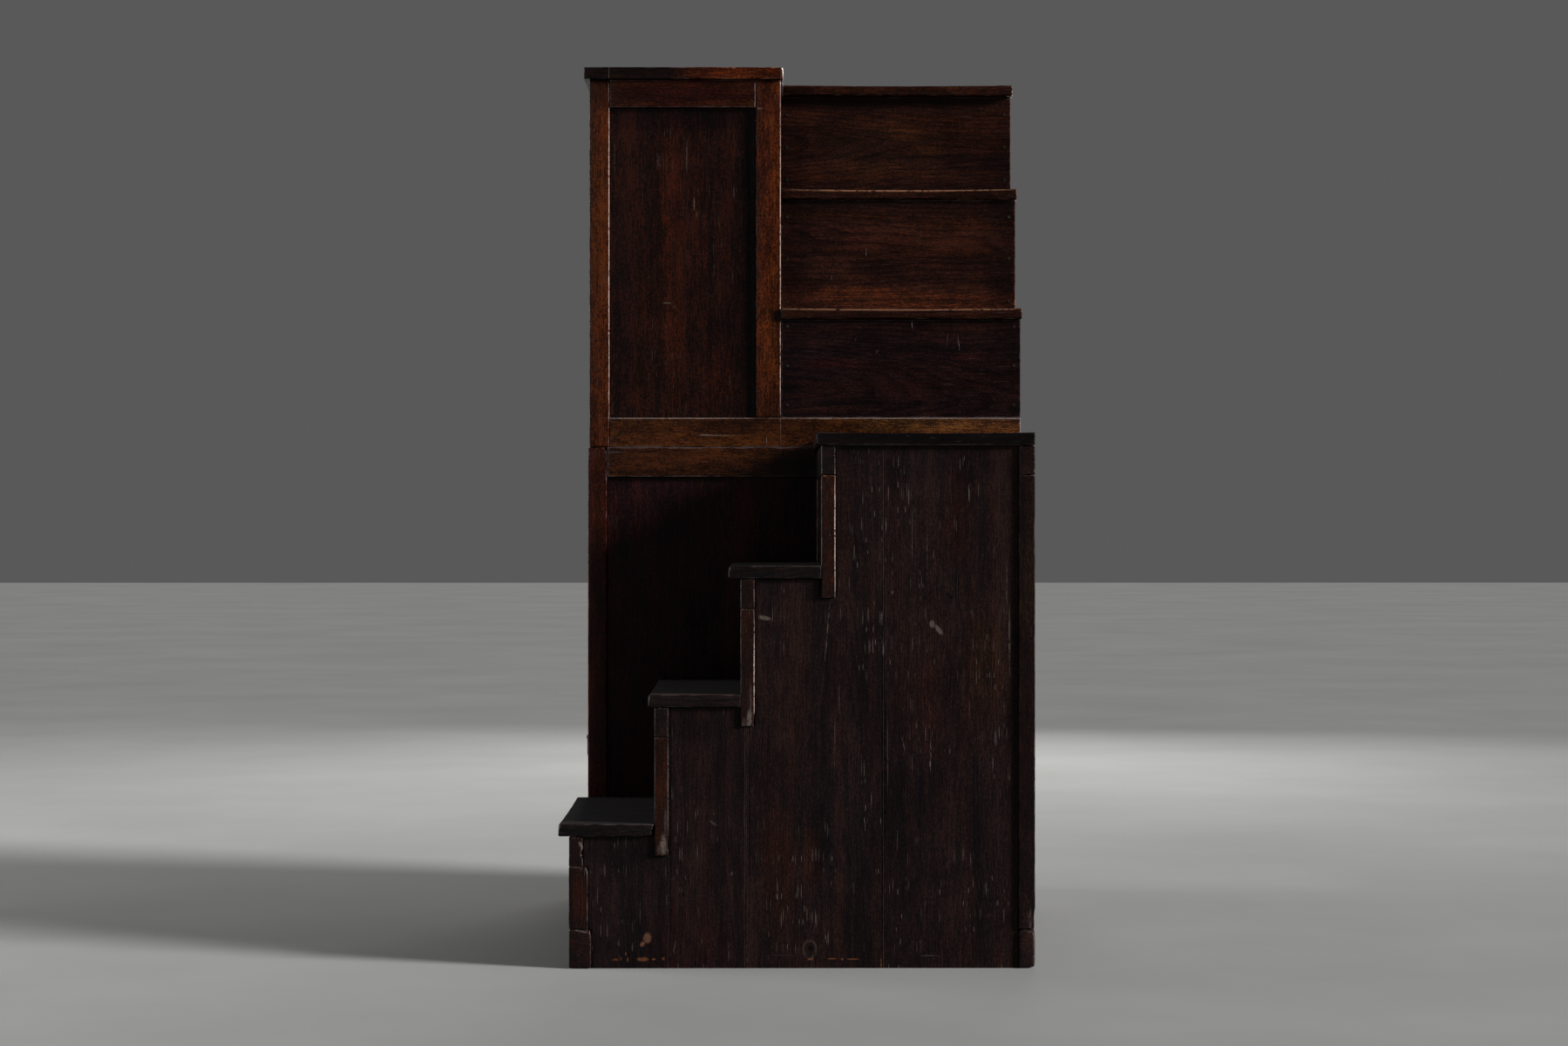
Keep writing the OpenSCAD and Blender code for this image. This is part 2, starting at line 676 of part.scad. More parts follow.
// A framed door: stiles, rails between them and a thin panel, each a piece of its own
module sliding_door(x0, y, span_z) {
    z = [span_z[0] + seat_gap, span_z[1] - door_top_gap];
    x = [x0, x0 + door_t];
    in_y = [y[0] + door_stile + joint_gap, y[1] - door_stile - joint_gap];
    for (stile = [span(y[0], 0, door_stile), span(y[1], -door_stile, 0)]) bar(x, stile, z);
    for (rail = [span(z[0], 0, door_rail), span(z[1], -door_rail, 0)]) bar(x, in_y, rail);
    bar(span(middle(x), -door_panel_t / 2, door_panel_t / 2), in_y,
        [z[0] + door_rail + joint_gap, z[1] - door_rail - joint_gap]);
}

module lower_door_near()
    color(WARM) placed() sliding_door(track_x(lower_x[0], false), near_door_y, low_door_z);
module lower_door_far()
    color(WARM) placed() sliding_door(track_x(lower_x[0], true), far_door_y, low_door_z);
module upper_door_near()
    color(WARM) placed() sliding_door(track_x(case_x[0], false), near_door_y, high_door_z);
module upper_door_far()
    color(WARM) placed() sliding_door(track_x(case_x[0], true), far_door_y, high_door_z);

stair_posts();
step_rails();
base_rails();
side_board_1();
side_board_2();
side_board_3();
side_board_4();
far_side_boards();
step_risers();
end_boards();
stair_floor();
tread_1();
tread_2();
tread_3();
landing();
lower_posts();
lower_rails();
lower_side_panels();
lower_back_boards();
lower_boards();
drawer_runners();
upper_posts();
upper_rails();
upper_side_panels();
divider();
upper_boards();
top_board();
high_riser_1();
high_riser_2();
high_riser_3();
high_tread_1();
high_tread_2();
top_tread();
high_casing();
riser_nails();
step_drawer_front();
step_drawer_sides();
step_drawer_back();
step_drawer_bottom();
step_drawer_eyes();
step_drawer_bail();
drawer_1_front();
drawer_1_sides();
drawer_1_back();
drawer_1_bottom();
drawer_1_eyes();
drawer_1_bail_near();
drawer_1_bail_far();
drawer_2_front();
drawer_2_sides();
drawer_2_back();
drawer_2_bottom();
drawer_2_eyes();
drawer_2_bail_near();
drawer_2_bail_far();
lower_door_near();
lower_door_far();
upper_door_near();
upper_door_far();
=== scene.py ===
"""Looks of a turning step chest: worn, dark lacquered boards on a frame of posts and rails.

Lengths are in metres, in the frame of the construction model. MM turns millimetres into metres.
Marks and colour patches on the near side, painted highlights and painted shadows among them, are
placed by two distances in millimetres: along X from the first riser's face, and up from the floor.
"""

import json
import math
import random

import bmesh
import bpy
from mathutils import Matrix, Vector, noise

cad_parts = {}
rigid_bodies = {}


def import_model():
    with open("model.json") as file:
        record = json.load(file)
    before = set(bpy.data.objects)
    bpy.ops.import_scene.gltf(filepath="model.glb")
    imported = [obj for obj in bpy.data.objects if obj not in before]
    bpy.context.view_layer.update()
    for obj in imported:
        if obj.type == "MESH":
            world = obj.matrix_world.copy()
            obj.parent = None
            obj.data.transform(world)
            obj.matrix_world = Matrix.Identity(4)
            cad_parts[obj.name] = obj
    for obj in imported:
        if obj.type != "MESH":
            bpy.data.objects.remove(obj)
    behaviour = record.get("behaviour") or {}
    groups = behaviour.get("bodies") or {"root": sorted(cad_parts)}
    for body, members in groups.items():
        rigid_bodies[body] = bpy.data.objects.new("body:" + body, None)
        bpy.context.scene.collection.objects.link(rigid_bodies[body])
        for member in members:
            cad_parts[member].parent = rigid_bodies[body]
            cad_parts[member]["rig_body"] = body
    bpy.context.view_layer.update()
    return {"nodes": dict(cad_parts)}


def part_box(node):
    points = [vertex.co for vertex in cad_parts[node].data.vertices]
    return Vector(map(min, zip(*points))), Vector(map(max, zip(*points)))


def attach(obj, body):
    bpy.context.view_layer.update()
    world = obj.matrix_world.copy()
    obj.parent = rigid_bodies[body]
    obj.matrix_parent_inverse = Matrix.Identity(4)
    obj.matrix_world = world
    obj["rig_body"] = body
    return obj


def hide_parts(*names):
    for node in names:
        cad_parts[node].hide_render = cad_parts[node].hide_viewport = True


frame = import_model()

MM = 0.001

# How solids are read and shaded.
WELD = 0.01 * MM  # corners closer than this are one
FLAT = math.radians(0.5)  # faces that turn less than this are one
SHARP = math.radians(25)  # edges that turn more than this are rounded
SMOOTH = math.radians(50)  # edges that turn less than this are shaded as one surface

# How far wear reaches.
SKIN = 2 * MM  # what lies closer than this counts as on the edge or face
CROWN_REACH = 14 * MM  # how far in from its edges a crowned face falls away
WEAR_REACH = 6 * MM  # how far in from an edge dents and nicks go
STAIN_AND_PAINTED_LIGHT_DEPTH = 60 * MM  # how far behind a board's front face a patch fades, whether stain, painted shadow or painted highlight
FINGER_HOLLOW = (24 * MM, 78 * MM, 7 * MM)  # width, height and depth

# Noise that shapes the wood, in waves per metre.
WAVE_SCALE, DENT_SCALE, NICK_SCALE, CHIP_SCALE = 9, 38, 170, 300
TREAD_SCALE, STAIN_AND_PAINTED_LIGHT_EDGE_SCALE = 14, 22

# Wood that is the same in every material.
TAPER = 0.03  # how much a ring's radius grows along the trunk
RELIEF = 0.35 * MM
TOP_ROUGHNESS = 0.93  # faces that look up are dull, so that lamps don't glare on them

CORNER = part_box("base_rails")[0]  # where distances on the near side start


# ---- boards: from a node's solids to worn pieces ----

def node_solids(node):
    """A node's solids, each a bmesh with whole flat faces, in the order of their lower corners."""
    whole = bmesh.new()
    whole.from_mesh(frame["nodes"][node].data)
    bmesh.ops.remove_doubles(whole, verts=whole.verts, dist=WELD)
    bmesh.ops.dissolve_limit(whole, angle_limit=FLAT, verts=whole.verts, edges=whole.edges)
    whole.faces.ensure_lookup_table()
    whole.faces.index_update()
    seen = set()
    solids = []
    for first in whole.faces:
        if first.index in seen:
            continue
        seen.add(first.index)
        members = [first]
        for face in members:
            for edge in face.edges:
                for other in edge.link_faces:
                    if other.index not in seen:
                        seen.add(other.index)
                        members.append(other)
        solids.append(copy_faces(members))
    whole.free()
    return sorted(solids, key=lambda solid: [round(c, 4) for c in solid_box(solid)[0]])


def copy_faces(faces):
    """A new bmesh that holds copies of these faces."""
    solid = bmesh.new()
    copies = {}
    for face in faces:
        for vert in face.verts:
            if vert.index not in copies:
                copies[vert.index] = solid.verts.new(vert.co)
        solid.faces.new([copies[vert.index] for vert in face.verts])
    solid.normal_update()
    return solid


def solid_box(solid):
    """Lowest and highest corner of a bmesh."""
    points = [vert.co for vert in solid.verts]
    low = Vector([min(p[k] for p in points) for k in range(3)])
    high = Vector([max(p[k] for p in points) for k in range(3)])
    return low, high


def grain_axes(low, high, along=None):
    """The axes along the grain, across the board and through it."""
    size = high - low
    order = sorted(range(3), key=lambda k: -size[k])
    if along is not None:
        order.remove(along)
        order.insert(0, along)
    return order


def cut_across(solid, axis, places):
    """Cuts a solid with planes square to an axis."""
    normal = Vector([float(k == axis) for k in range(3)])
    for place in places:
        bmesh.ops.bisect_plane(solid, geom=solid.verts[:] + solid.edges[:] + solid.faces[:],
                               dist=WELD, plane_co=normal * place, plane_no=normal)


def cut_grid(solid, low, high, step, margin):
    """Cuts a solid across each axis, close to its edges and then every step."""
    for k in range(3):
        length = high[k] - low[k]
        if length < 4 * margin:
            continue
        count = max(1, round((length - 2 * margin) / step))
        cut_across(solid, k, [low[k] + margin + i * (length - 2 * margin) / count for i in range(count + 1)])
        if length > 3 * CROWN_REACH and step > CROWN_REACH:
            cut_across(solid, k, [low[k] + CROWN_REACH, high[k] - CROWN_REACH])


def round_edges(solid, radius):
    """Rounds all sharp edges."""
    sharp = [e for e in solid.edges if len(e.link_faces) == 2 and e.calc_face_angle(0) > SHARP]
    bmesh.ops.bevel(solid, geom=sharp, offset=radius, offset_type="OFFSET", segments=2,
                    profile=0.5, affect="EDGES", clamp_overlap=True)


def wear_solid(solid, low, high, seed, wear, warp, crown, chips):
    """Lets the faces wave and fall away to their edges, dents the edges and takes chips off."""
    centre = (low + high) / 2
    half = (high - low) / 2
    shift = Vector((seed * 31.0, seed * 17.0, seed * 53.0))
    along = grain_axes(low, high)[0]
    for vert in solid.verts:
        place = vert.co - centre
        gaps = [half[k] - abs(place[k]) for k in range(3)]
        first, second = sorted(range(3), key=gaps.__getitem__)[:2]
        at = vert.co + shift
        near = gaps[second]
        fall = crown * max(0.0, 1 - near / CROWN_REACH) ** 2
        wave = warp * max(0.0, 0.5 + 0.5 * noise.noise(at * WAVE_SCALE)) if near > SKIN else 0.0
        bite = 0.0
        if near < WEAR_REACH:
            broad = max(0.0, noise.noise(at * DENT_SCALE) + 0.15)
            fine = max(0.0, noise.noise(at * NICK_SCALE))
            bite = wear * (1.6 * broad * broad + 0.5 * fine + 0.12) * (1 - near / WEAR_REACH)
        vert.co[first] -= math.copysign(fall + wave + bite, place[first])
        vert.co[second] -= math.copysign(bite + (fall if near < SKIN else 0.0), place[second])
        for x, y, z, size, depth in chips:
            away = (vert.co - CORNER - Vector((x, y, z)) * MM).length / (size * MM)
            if away < 1:
                inward = centre - vert.co
                inward[along] = 0
                rough = 0.8 + 0.4 * noise.noise(at * CHIP_SCALE)
                vert.co += inward.normalized() * depth * MM * (1 - away * away) * rough
        vert.co = [min(max(vert.co[k], low[k]), high[k]) for k in range(3)]


def tread_hollow(solid, low, high, front, depth):
    """Wears the top of a tread down, most at the middle of its front edge, where feet land."""
    along = 1 - front
    centre, half = (low + high) / 2, (high - low) / 2
    for vert in solid.verts:
        if vert.co.z > centre.z:
            sideways = (vert.co[along] - centre[along]) / half[along]
            back = (vert.co[front] - low[front]) / (2 * half[front])
            share = max(0.0, 1 - sideways * sideways) * max(0.0, 1 - 1.3 * back)
            vert.co.z -= depth * share * (1 + 0.3 * noise.noise(vert.co * TREAD_SCALE))


def bow(solid, low, high, depth):
    """Lets a board sag between its ends along X."""
    middle, half = (low.x + high.x) / 2, (high.x - low.x) / 2
    for vert in solid.verts:
        vert.co.z -= depth * max(0.0, 1 - ((vert.co.x - middle) / half) ** 2)


def scoop(solid, place, wide, high, depth):
    """Carves a finger hollow into the face that looks to the left, around a place in Y and Z."""
    steps = 10
    for axis, size in ((1, wide), (2, high)):
        cut_across(solid, axis, [place[axis] + size * (i / steps - 0.5) for i in range(steps + 1)])
    face = min(vert.co.x for vert in solid.verts)
    for vert in solid.verts:
        across = abs(vert.co.y - place[1]) / (wide / 2)
        up = abs(vert.co.z - place[2]) / (high / 2)
        out = (across ** 4 + up ** 4) ** 0.25
        if out < 1 and vert.co.x < face + SKIN:
            vert.co.x += depth * min(1.0, 2.6 * (1 - out))


def painted_tone(tone, patches, point, front):
    """A board's colour factor at a point, changed inside patches that fade behind its front face: stain,
    painted shadow and painted highlight.
    """
    shown = list(tone)
    behind = max(0.0, (point.y - front) / STAIN_AND_PAINTED_LIGHT_DEPTH - 0.5)
    for x, z, wide, high, factor in patches:
        out = math.hypot((point.x - CORNER.x - x * MM) / (wide * MM), (point.z - z * MM) / (high * MM)) * 2
        share = min(1.0, max(0.0, 1.6 - 1.2 * out - behind + 0.5 * noise.noise(point * STAIN_AND_PAINTED_LIGHT_EDGE_SCALE)))
        share *= share * (3 - 2 * share)
        for k in range(3):
            shown[k] *= 1 + (factor[k] - 1) * min(1.0, share)
    return shown


class Build:
    """Gathers worn boards into one mesh, with each board's own grain coordinates."""

    def __init__(self):
        self.coords, self.faces = [], []
        self.grain, self.half, self.board, self.tone = [], [], [], []

    def add(self, solid, low, high, axes, seed, tone, patches):
        start = len(self.coords)
        centre, half = (low + high) / 2, (high - low) / 2
        for index, vert in enumerate(solid.verts):
            vert.index = index
            place = vert.co - centre
            self.coords.append(tuple(vert.co))
            self.grain += [place[k] for k in axes]
            self.half += [half[k] for k in axes]
            self.board.append(seed)
            self.tone += painted_tone(tone, patches, vert.co, low.y)
        self.faces += [[start + vert.index for vert in face.verts] for face in solid.faces]
        solid.free()

    def piece(self, name):
        mesh = bpy.data.meshes.new(name)
        mesh.from_pydata(self.coords, [], self.faces)
        for title, kind, values in (("grain", "FLOAT_VECTOR", self.grain),
                                    ("half", "FLOAT_VECTOR", self.half),
                                    ("board", "FLOAT", self.board),
                                    ("tone", "FLOAT_VECTOR", self.tone)):
            field = "vector" if kind == "FLOAT_VECTOR" else "value"
            mesh.attributes.new(title, kind, "POINT").data.foreach_set(field, values)
        mesh.shade_smooth()
        mesh.set_sharp_from_angle(angle=SMOOTH)
        thing = bpy.data.objects.new(name, mesh)
        bpy.context.scene.collection.objects.link(thing)
        return thing


def finish_boards(node, material, grain=None, radius=1.2, wear=0.8, warp=0.3, crown=0.0, step=None,
                  tones=(), patches=(), chips=(), shape=None):
    """Replaces a node by its boards with rounded, worn edges. Sizes are in millimetres.

    tones holds a colour factor for each board in turn, patches are stained spots, painted shadows and
    painted highlights, chips are missing bits, and shape changes a cut solid, given its number and its box.
    """
    luck = random.Random(node)
    build = Build()
    for index, solid in enumerate(node_solids(node)):
        low, high = solid_box(solid)
        seed = luck.random()
        drift = luck.uniform(0.9, 1.1)
        tone = tones[index % len(tones)] if tones else (drift, drift, drift)
        if step:
            cut_grid(solid, low, high, step * MM, 2.0 * radius * MM)
        round_edges(solid, radius * MM)
        if shape:
            shape(solid, index, low, high)
        if step:
            wear_solid(solid, low, high, seed, wear * MM, warp * MM, crown * MM, chips)
        build.add(solid, low, high, grain_axes(low, high, grain), seed, tone, patches)
    piece = build.piece(node + "_worn")
    piece.data.materials.append(material)
    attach(piece, frame["nodes"][node]["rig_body"])
    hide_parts(node)


# ---- materials ----

def paint(r, g, b):
    """A linear colour from 8-bit display values."""
    def linear(value):
        value /= 255
        return value / 12.92 if value <= 0.04045 else ((value + 0.055) / 1.055) ** 2.4
    return (linear(r), linear(g), linear(b), 1.0)


class Graph:
    """Builds a material's nodes. An input is a number, a tuple or another node's output."""

    def __init__(self, name):
        self.material = bpy.data.materials.new(name)
        self.material.use_nodes = True
        self.tree = self.material.node_tree
        self.tree.nodes.clear()

    def add(self, kind, inputs, **settings):
        node = self.tree.nodes.new(kind)
        for key, value in settings.items():
            setattr(node, key, value)
        for key, value in inputs.items():
            socket = node.inputs[key]
            if isinstance(value, bpy.types.NodeSocket):
                self.tree.links.new(value, socket)
            else:
                socket.default_value = value
        return node

    def attribute(self, name, output):
        return self.add("ShaderNodeAttribute", {}, attribute_name=name).outputs[output]

    def place(self):
        return self.add("ShaderNodeTexCoord", {}).outputs["Object"]

    def outward(self):
        return self.add("ShaderNodeTexCoord", {}).outputs["Normal"]

    def math(self, operation, a, b=0.0, c=0.0):
        return self.add("ShaderNodeMath", {0: a, 1: b, 2: c}, operation=operation).outputs[0]

    def vector(self, operation, a, b=(0, 0, 0)):
        return self.add("ShaderNodeVectorMath", {0: a, 1: b}, operation=operation).outputs[0]

    def length(self, a):
        return self.add("ShaderNodeVectorMath", {0: a}, operation="LENGTH").outputs["Value"]

    def split(self, vector):
        return self.add("ShaderNodeSeparateXYZ", {0: vector}).outputs[:3]

    def join(self, x, y, z):
        return self.add("ShaderNodeCombineXYZ", {0: x, 1: y, 2: z}).outputs[0]

    def noise(self, at, scale, detail=2.0, rough=0.5):
        """Noise from 0 to 1, with its own scale on each axis, in waves per metre."""
        return self.add("ShaderNodeTexNoise", {"Vector": self.vector("MULTIPLY", at, scale), "Scale": 1.0,
                                               "Detail": detail, "Roughness": rough}).outputs[0]

    def flecks(self, at, scale, size, share):
        """Up to 1 inside scattered flecks, of which only a share shows, and 0 between them."""
        spots = self.add("ShaderNodeTexVoronoi", {"Vector": self.vector("MULTIPLY", at, scale), "Scale": 1.0})
        chance, strength, _ = self.split(spots.outputs["Color"])
        shown = self.math("MULTIPLY", self.math("LESS_THAN", chance, share), self.span(strength, 0.0, 0.8))
        return self.math("MULTIPLY", shown, self.span(spots.outputs["Distance"], size, size * 0.5))

    def span(self, value, low, high, to_low=0.0, to_high=1.0):
        """Maps low..high smoothly onto to_low..to_high."""
        return self.add("ShaderNodeMapRange", {"Value": value, "From Min": low, "From Max": high,
                                               "To Min": to_low, "To Max": to_high},
                        interpolation_type="SMOOTHSTEP").outputs[0]

    def mix(self, share, a, b, blend="MIX"):
        return self.add("ShaderNodeMix", {0: share, 6: a, 7: b}, data_type="RGBA",
                        blend_type=blend).outputs[2]

    def ramp(self, value, stops):
        node = self.add("ShaderNodeValToRGB", {0: value})
        elements = node.color_ramp.elements
        while len(elements) < len(stops):
            elements.new(0.5)
        for element, (place, colour) in zip(elements, stops):
            element.position = place
            element.color = colour
        return node.outputs[0]

    def layers(self, base, pairs):
        """Adds up noises around a middle value: each pair is a noise and its weight."""
        total = base
        for value, weight in pairs:
            total = self.math("MULTIPLY_ADD", self.math("SUBTRACT", value, 0.5), weight, total)
        return total

    def bump(self, height, distance):
        return self.add("ShaderNodeBump", {"Height": height, "Distance": distance,
                                           "Strength": 1.0}).outputs[0]

    def finish(self, inputs):
        shader = self.add("ShaderNodeBsdfPrincipled", inputs)
        self.add("ShaderNodeOutputMaterial", {"Surface": shader.outputs[0]})
        return self.material


def middle_of_three(g, x, y, z):
    """The middle one of three values: of a face's gaps, the distance to its nearest edge."""
    low = g.math("MINIMUM", x, y)
    high = g.math("MAXIMUM", x, y)
    return g.math("MAXIMUM", low, g.math("MINIMUM", high, z))


def growth_rings(g, at, place, seed, width, wander):
    """Late wood as 1 and early wood as 0, from the distance to the tree's own middle."""
    x, y, z = g.split(place)
    side = g.math("MULTIPLY", g.math("SUBTRACT", g.math("FRACT", g.math("MULTIPLY", seed, 7.3)), 0.5), 0.14)
    depth = g.math("MULTIPLY_ADD", g.math("FRACT", g.math("MULTIPLY", seed, 13.7)), 0.08, 0.045)
    dy = g.math("SUBTRACT", y, side)
    dz = g.math("SUBTRACT", z, depth)
    radius = g.math("SQRT", g.math("MULTIPLY_ADD", dy, dy, g.math("MULTIPLY", dz, dz)))
    drift = g.math("MULTIPLY", g.noise(at, (1.4, 6, 6), 2.0), wander)
    radius = g.math("ADD", g.math("MULTIPLY_ADD", x, TAPER, radius), drift)
    ring = g.math("FRACT", g.math("DIVIDE", radius, width))
    return g.ramp(ring, [(0.0, (0.1, 0.1, 0.1, 1)), (0.5, (0.2, 0.2, 0.2, 1)), (0.9, (1, 1, 1, 1)),
                         (1.0, (0.1, 0.1, 0.1, 1))])


def near_side_marks(g, groups):
    """Pairs of a mask and a colour for marks on the near side.

    Each group has a colour and its strokes, as x, z, height, width and lean in degrees. The colour's
    fourth value is how strongly it shows, and a fifth one makes rings of the strokes.
    """
    at = g.place()
    wobble = g.math("MULTIPLY", g.math("SUBTRACT", g.noise(at, (70, 70, 70), 3.0, 0.6), 0.5), 3 * MM)
    facing = g.span(g.split(g.outward())[1], -0.2, -0.5)
    across, _, up = g.split(at)
    flat = g.join(g.math("ADD", across, wobble), 0.0, up)
    broken = g.span(g.noise(at, (90, 90, 90), 4.0, 0.6), 0.32, 0.52)
    pairs = []
    for (*colour, strength, ring), strokes in groups:
        mask = 0.0
        for x, z, high, wide, lean in strokes:
            turned = g.add("ShaderNodeMapping", {"Vector": flat, "Location": (CORNER.x + x * MM, 0, z * MM),
                                                 "Rotation": (0, math.radians(lean), 0),
                                                 "Scale": (wide / 2 * MM, 1, high / 2 * MM)},
                           vector_type="TEXTURE").outputs[0]
            out = g.length(turned)
            if ring:
                out = g.math("ABSOLUTE", g.math("MULTIPLY_ADD", out, 6.0, -5.0))
            mask = g.math("MAXIMUM", mask, g.span(out, 1.25, 0.55))
        shown = g.math("MULTIPLY", g.math("MULTIPLY", broken, facing), strength)
        pairs.append((g.math("MULTIPLY", mask, shown), tuple(colour)))
    return pairs


def wood(name, deep, middle, light, worn, tint=(1.25, 0.95, 0.7), contrast=1.0, rings=0.3, ring_width=4.5,
         wander=0.05, wear_width=1.6, wear=0.5, pits=0.4, pit_colour=(74, 66, 63), gloss=0.44,
         specular=0.1, marks=()):
    """Lacquered wood with streaks along the grain, growth rings, pits, cracks and worn edges."""
    g = Graph(name)
    place = g.attribute("grain", "Vector")
    seed = g.attribute("board", "Fac")
    at = g.vector("ADD", place, g.vector("MULTIPLY", g.join(seed, seed, seed), (37, 91, 53)))

    streak = g.noise(at, (2.4, 62, 62), 6.0, 0.74)
    cloud = g.noise(at, (8, 17, 17), 6.0, 0.7)
    fibre = g.noise(at, (26, 520, 520), 3.0, 0.7)
    mottle = g.noise(at, (170, 330, 330), 3.0, 0.7)
    late = growth_rings(g, at, place, seed, ring_width * MM, wander)
    level = g.layers(0.5, [(g.noise(at, (0.9, 17, 17), 3.0, 0.55), 1.0 * contrast), (streak, 0.9 * contrast),
                           (cloud, 1.1 * contrast), (fibre, 1.5 * contrast), (mottle, 1.9 * contrast)])
    colour = g.ramp(level, [(0.2, paint(*deep)), (0.5, paint(*middle)), (0.85, paint(*light))])
    hue = g.span(g.noise(at, (1.3, 26, 26), 4.0, 0.6), 0.47, 0.62)
    colour = g.mix(hue, colour, g.mix(1.0, colour, (*tint, 1.0), "MULTIPLY"))
    shade = g.math("SUBTRACT", 1.0, g.math("MULTIPLY", late, rings))
    colour = g.mix(1.0, colour, g.join(shade, shade, shade), "MULTIPLY")

    gaps = g.vector("SUBTRACT", g.attribute("half", "Vector"), g.vector("ABSOLUTE", place))
    edge = middle_of_three(g, *g.split(gaps))
    patches = g.noise(at, (22, 80, 80), 4.0, 0.7)
    reach = g.span(patches, 0.35, 0.7, 0.5 * wear_width * MM, 2.0 * wear_width * MM)
    rubbed = g.math("MULTIPLY", g.span(edge, reach, g.math("MULTIPLY", reach, 0.5)), wear)
    colour = g.mix(rubbed, colour, paint(*worn))
    colour = g.mix(1.0, colour, g.attribute("tone", "Vector"), "MULTIPLY")

    crowd = g.span(g.noise(at, (4, 7, 7), 3.0, 0.6), 0.45, 0.62)
    pit = g.math("MAXIMUM", g.flecks(at, (16, 440, 440), 0.3, 0.26), g.flecks(at, (38, 380, 380), 0.3, 0.12))
    pit = g.math("MULTIPLY", pit, g.math("MULTIPLY", crowd, pits))
    colour = g.mix(pit, colour, paint(*pit_colour))
    crack = g.math("MULTIPLY", g.flecks(at, (5, 240, 240), 0.26, 0.14), 0.8 * pits)
    colour = g.mix(crack, colour, paint(7, 3, 4))
    height = g.layers(0.0, [(late, -0.35), (fibre, 0.7), (streak, 0.8), (mottle, 0.5), (pit, -1.8),
                            (crack, -2.0), (rubbed, -0.6)])
    for mask, shown in near_side_marks(g, marks):
        colour = g.mix(mask, colour, paint(*shown))
        height = g.math("MULTIPLY_ADD", mask, -1.5, height)

    rough = g.layers(gloss, [(cloud, 0.3), (rubbed, 0.15)])
    trodden = g.span(g.split(g.outward())[2], 0.4, 0.9)
    rough = g.math("MAXIMUM", rough, g.math("MULTIPLY", trodden, TOP_ROUGHNESS))
    return g.finish({"Base Color": colour, "Roughness": rough, "Specular IOR Level": specular,
                     "Normal": g.bump(height, RELIEF)})


def forged_iron():
    """Dark forged iron with brown mottling and small dents."""
    g = Graph("forged_iron")
    at = g.place()
    mottle = g.noise(at, (160, 160, 160), 4.0, 0.6)
    dents = g.noise(at, (420, 420, 420), 2.0)
    colour = g.ramp(mottle, [(0.3, paint(22, 20, 19)), (0.55, paint(38, 34, 31)), (0.75, paint(66, 52, 42))])
    height = g.math("MULTIPLY_ADD", dents, 0.5, mottle)
    return g.finish({"Base Color": colour, "Roughness": g.span(mottle, 0.3, 0.8, 0.42, 0.68),
                     "Metallic": 0.75, "Normal": g.bump(height, 0.4 * MM)})


# ---- stage ----

KEY_TOWARDS = (-0.88, 0.30, -0.37)
CAMERA_PLACE = (-0.0735, -6.9935, 0.921)
CAMERA_TURN = (90, 0, -0.32)
WORLD_LIGHT = (0.045, 0.045, 0.045, 1)
WORLD_SEEN = (0.1, 0.1, 0.102, 1)


def make_floor():
    """A wide matt floor."""
    g = Graph("pale_floor")
    at = g.place()
    cloud = g.noise(at, (0.9, 0.9, 0.9), 5.0, 0.6)
    grit = g.noise(at, (60, 60, 60), 3.0)
    colour = g.ramp(cloud, [(0.3, paint(130, 130, 128)), (0.7, paint(138, 138, 136))])
    material = g.finish({"Base Color": colour, "Roughness": 0.9, "Specular IOR Level": 0.0,
                         "Normal": g.bump(grit, 0.2 * MM)})
    reach = 40.0
    corners = [(-reach, -reach, 0), (reach, -reach, 0), (reach, reach, 0), (-reach, reach, 0)]
    mesh = bpy.data.meshes.new("floor")
    mesh.from_pydata(corners, [], [(0, 1, 2, 3)])
    mesh.materials.append(material)
    floor = bpy.data.objects.new("floor", mesh)
    bpy.context.scene.collection.objects.link(floor)


def make_lamp(name, place, target, size, power):
    """A square lamp that looks at a target, with its power in watts."""
    lamp = bpy.data.lights.new(name, "AREA")
    lamp.shape = "SQUARE"
    lamp.size = size
    lamp.energy = power
    holder = bpy.data.objects.new(name, lamp)
    holder.location = place
    holder.rotation_euler = (Vector(target) - Vector(place)).to_track_quat("-Z", "Y").to_euler()
    bpy.context.scene.collection.objects.link(holder)


def make_light():
    """A broad key low on the right that rakes the near faces, and lamps for the front, left and back."""
    sun = bpy.data.lights.new("key", "SUN")
    sun.energy = 7.4
    sun.angle = math.radians(14)
    holder = bpy.data.objects.new("key", sun)
    holder.rotation_euler = Vector(KEY_TOWARDS).to_track_quat("-Z", "Y").to_euler()
    bpy.context.scene.collection.objects.link(holder)
    make_lamp("fill", (-2.6, -6.0, 2.4), (0.0, -0.3, 1.0), 2.6, 26)
    make_lamp("left", (-6.5, 0.9, 2.0), (-0.4, 0.4, 0.95), 2.6, 290)
    make_lamp("back", (0.6, 5.6, 3.0), (0.0, 0.6, 1.0), 2.6, 210)

    world = bpy.data.worlds.new("studio")
    bpy.context.scene.world = world
    world.use_nodes = True
    tree = world.node_tree
    path = tree.nodes.new("ShaderNodeLightPath")
    seen = tree.nodes.new("ShaderNodeMath")
    seen.operation = "MAXIMUM"
    tree.links.new(path.outputs["Is Camera Ray"], seen.inputs[0])
    tree.links.new(path.outputs["Is Glossy Ray"], seen.inputs[1])
    level = tree.nodes.new("ShaderNodeMix")
    level.data_type = "RGBA"
    level.inputs[6].default_value = WORLD_LIGHT
    level.inputs[7].default_value = WORLD_SEEN
    tree.links.new(seen.outputs[0], level.inputs[0])
    tree.links.new(level.outputs[2], tree.nodes["Background"].inputs["Color"])
    bpy.context.scene.view_settings.view_transform = "Standard"


